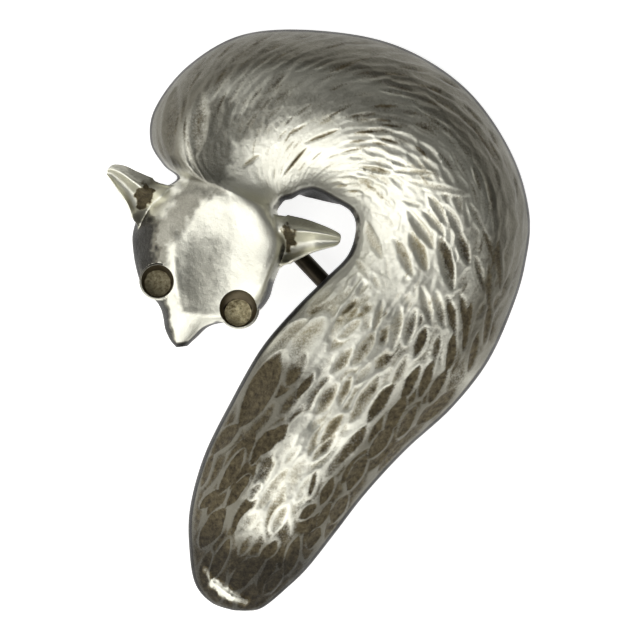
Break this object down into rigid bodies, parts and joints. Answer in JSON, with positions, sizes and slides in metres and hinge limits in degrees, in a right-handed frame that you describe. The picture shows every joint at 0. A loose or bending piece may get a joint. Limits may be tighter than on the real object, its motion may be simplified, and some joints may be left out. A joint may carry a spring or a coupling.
{
  "type": "figural animal brooch",
  "caption": "Curled fox brooch in hollow-backed cast silver, with a furry tail, empty round eye sockets and a hinged pin that closes into a catch on the back.",
  "frame": {"origin": "middle of the outline's box, on the plane that the rim rests on, with the brooch lying on its back", "axes": "+X to the right and +Y up across the front as the picture shows it, +Z out of the front"},
  "size_m": [0.0318, 0.044, 0.0076],
  "materials": {
    "cast_silver": "worn cast sterling silver, polished on the head, with brown tarnish in the fur",
    "rivet_silver": "worn silver, satin",
    "pin_wire": "drawn nickel silver wire, darkened with age"
  },
  "bodies": {
    "brooch": {"fox_casting": "cast_silver", "hinge_rivet": "rivet_silver"},
    "pin": {"pin_stem": "pin_wire"}
  },
  "joints": [
    {"name": "pin_swing", "type": "hinge", "parent": "brooch", "child": "pin", "pos_m": [-0.00689, 0.01051, 0.0013], "axis": [0.7275, 0.6861, 0], "range_deg": [0, 100]}
  ]
}
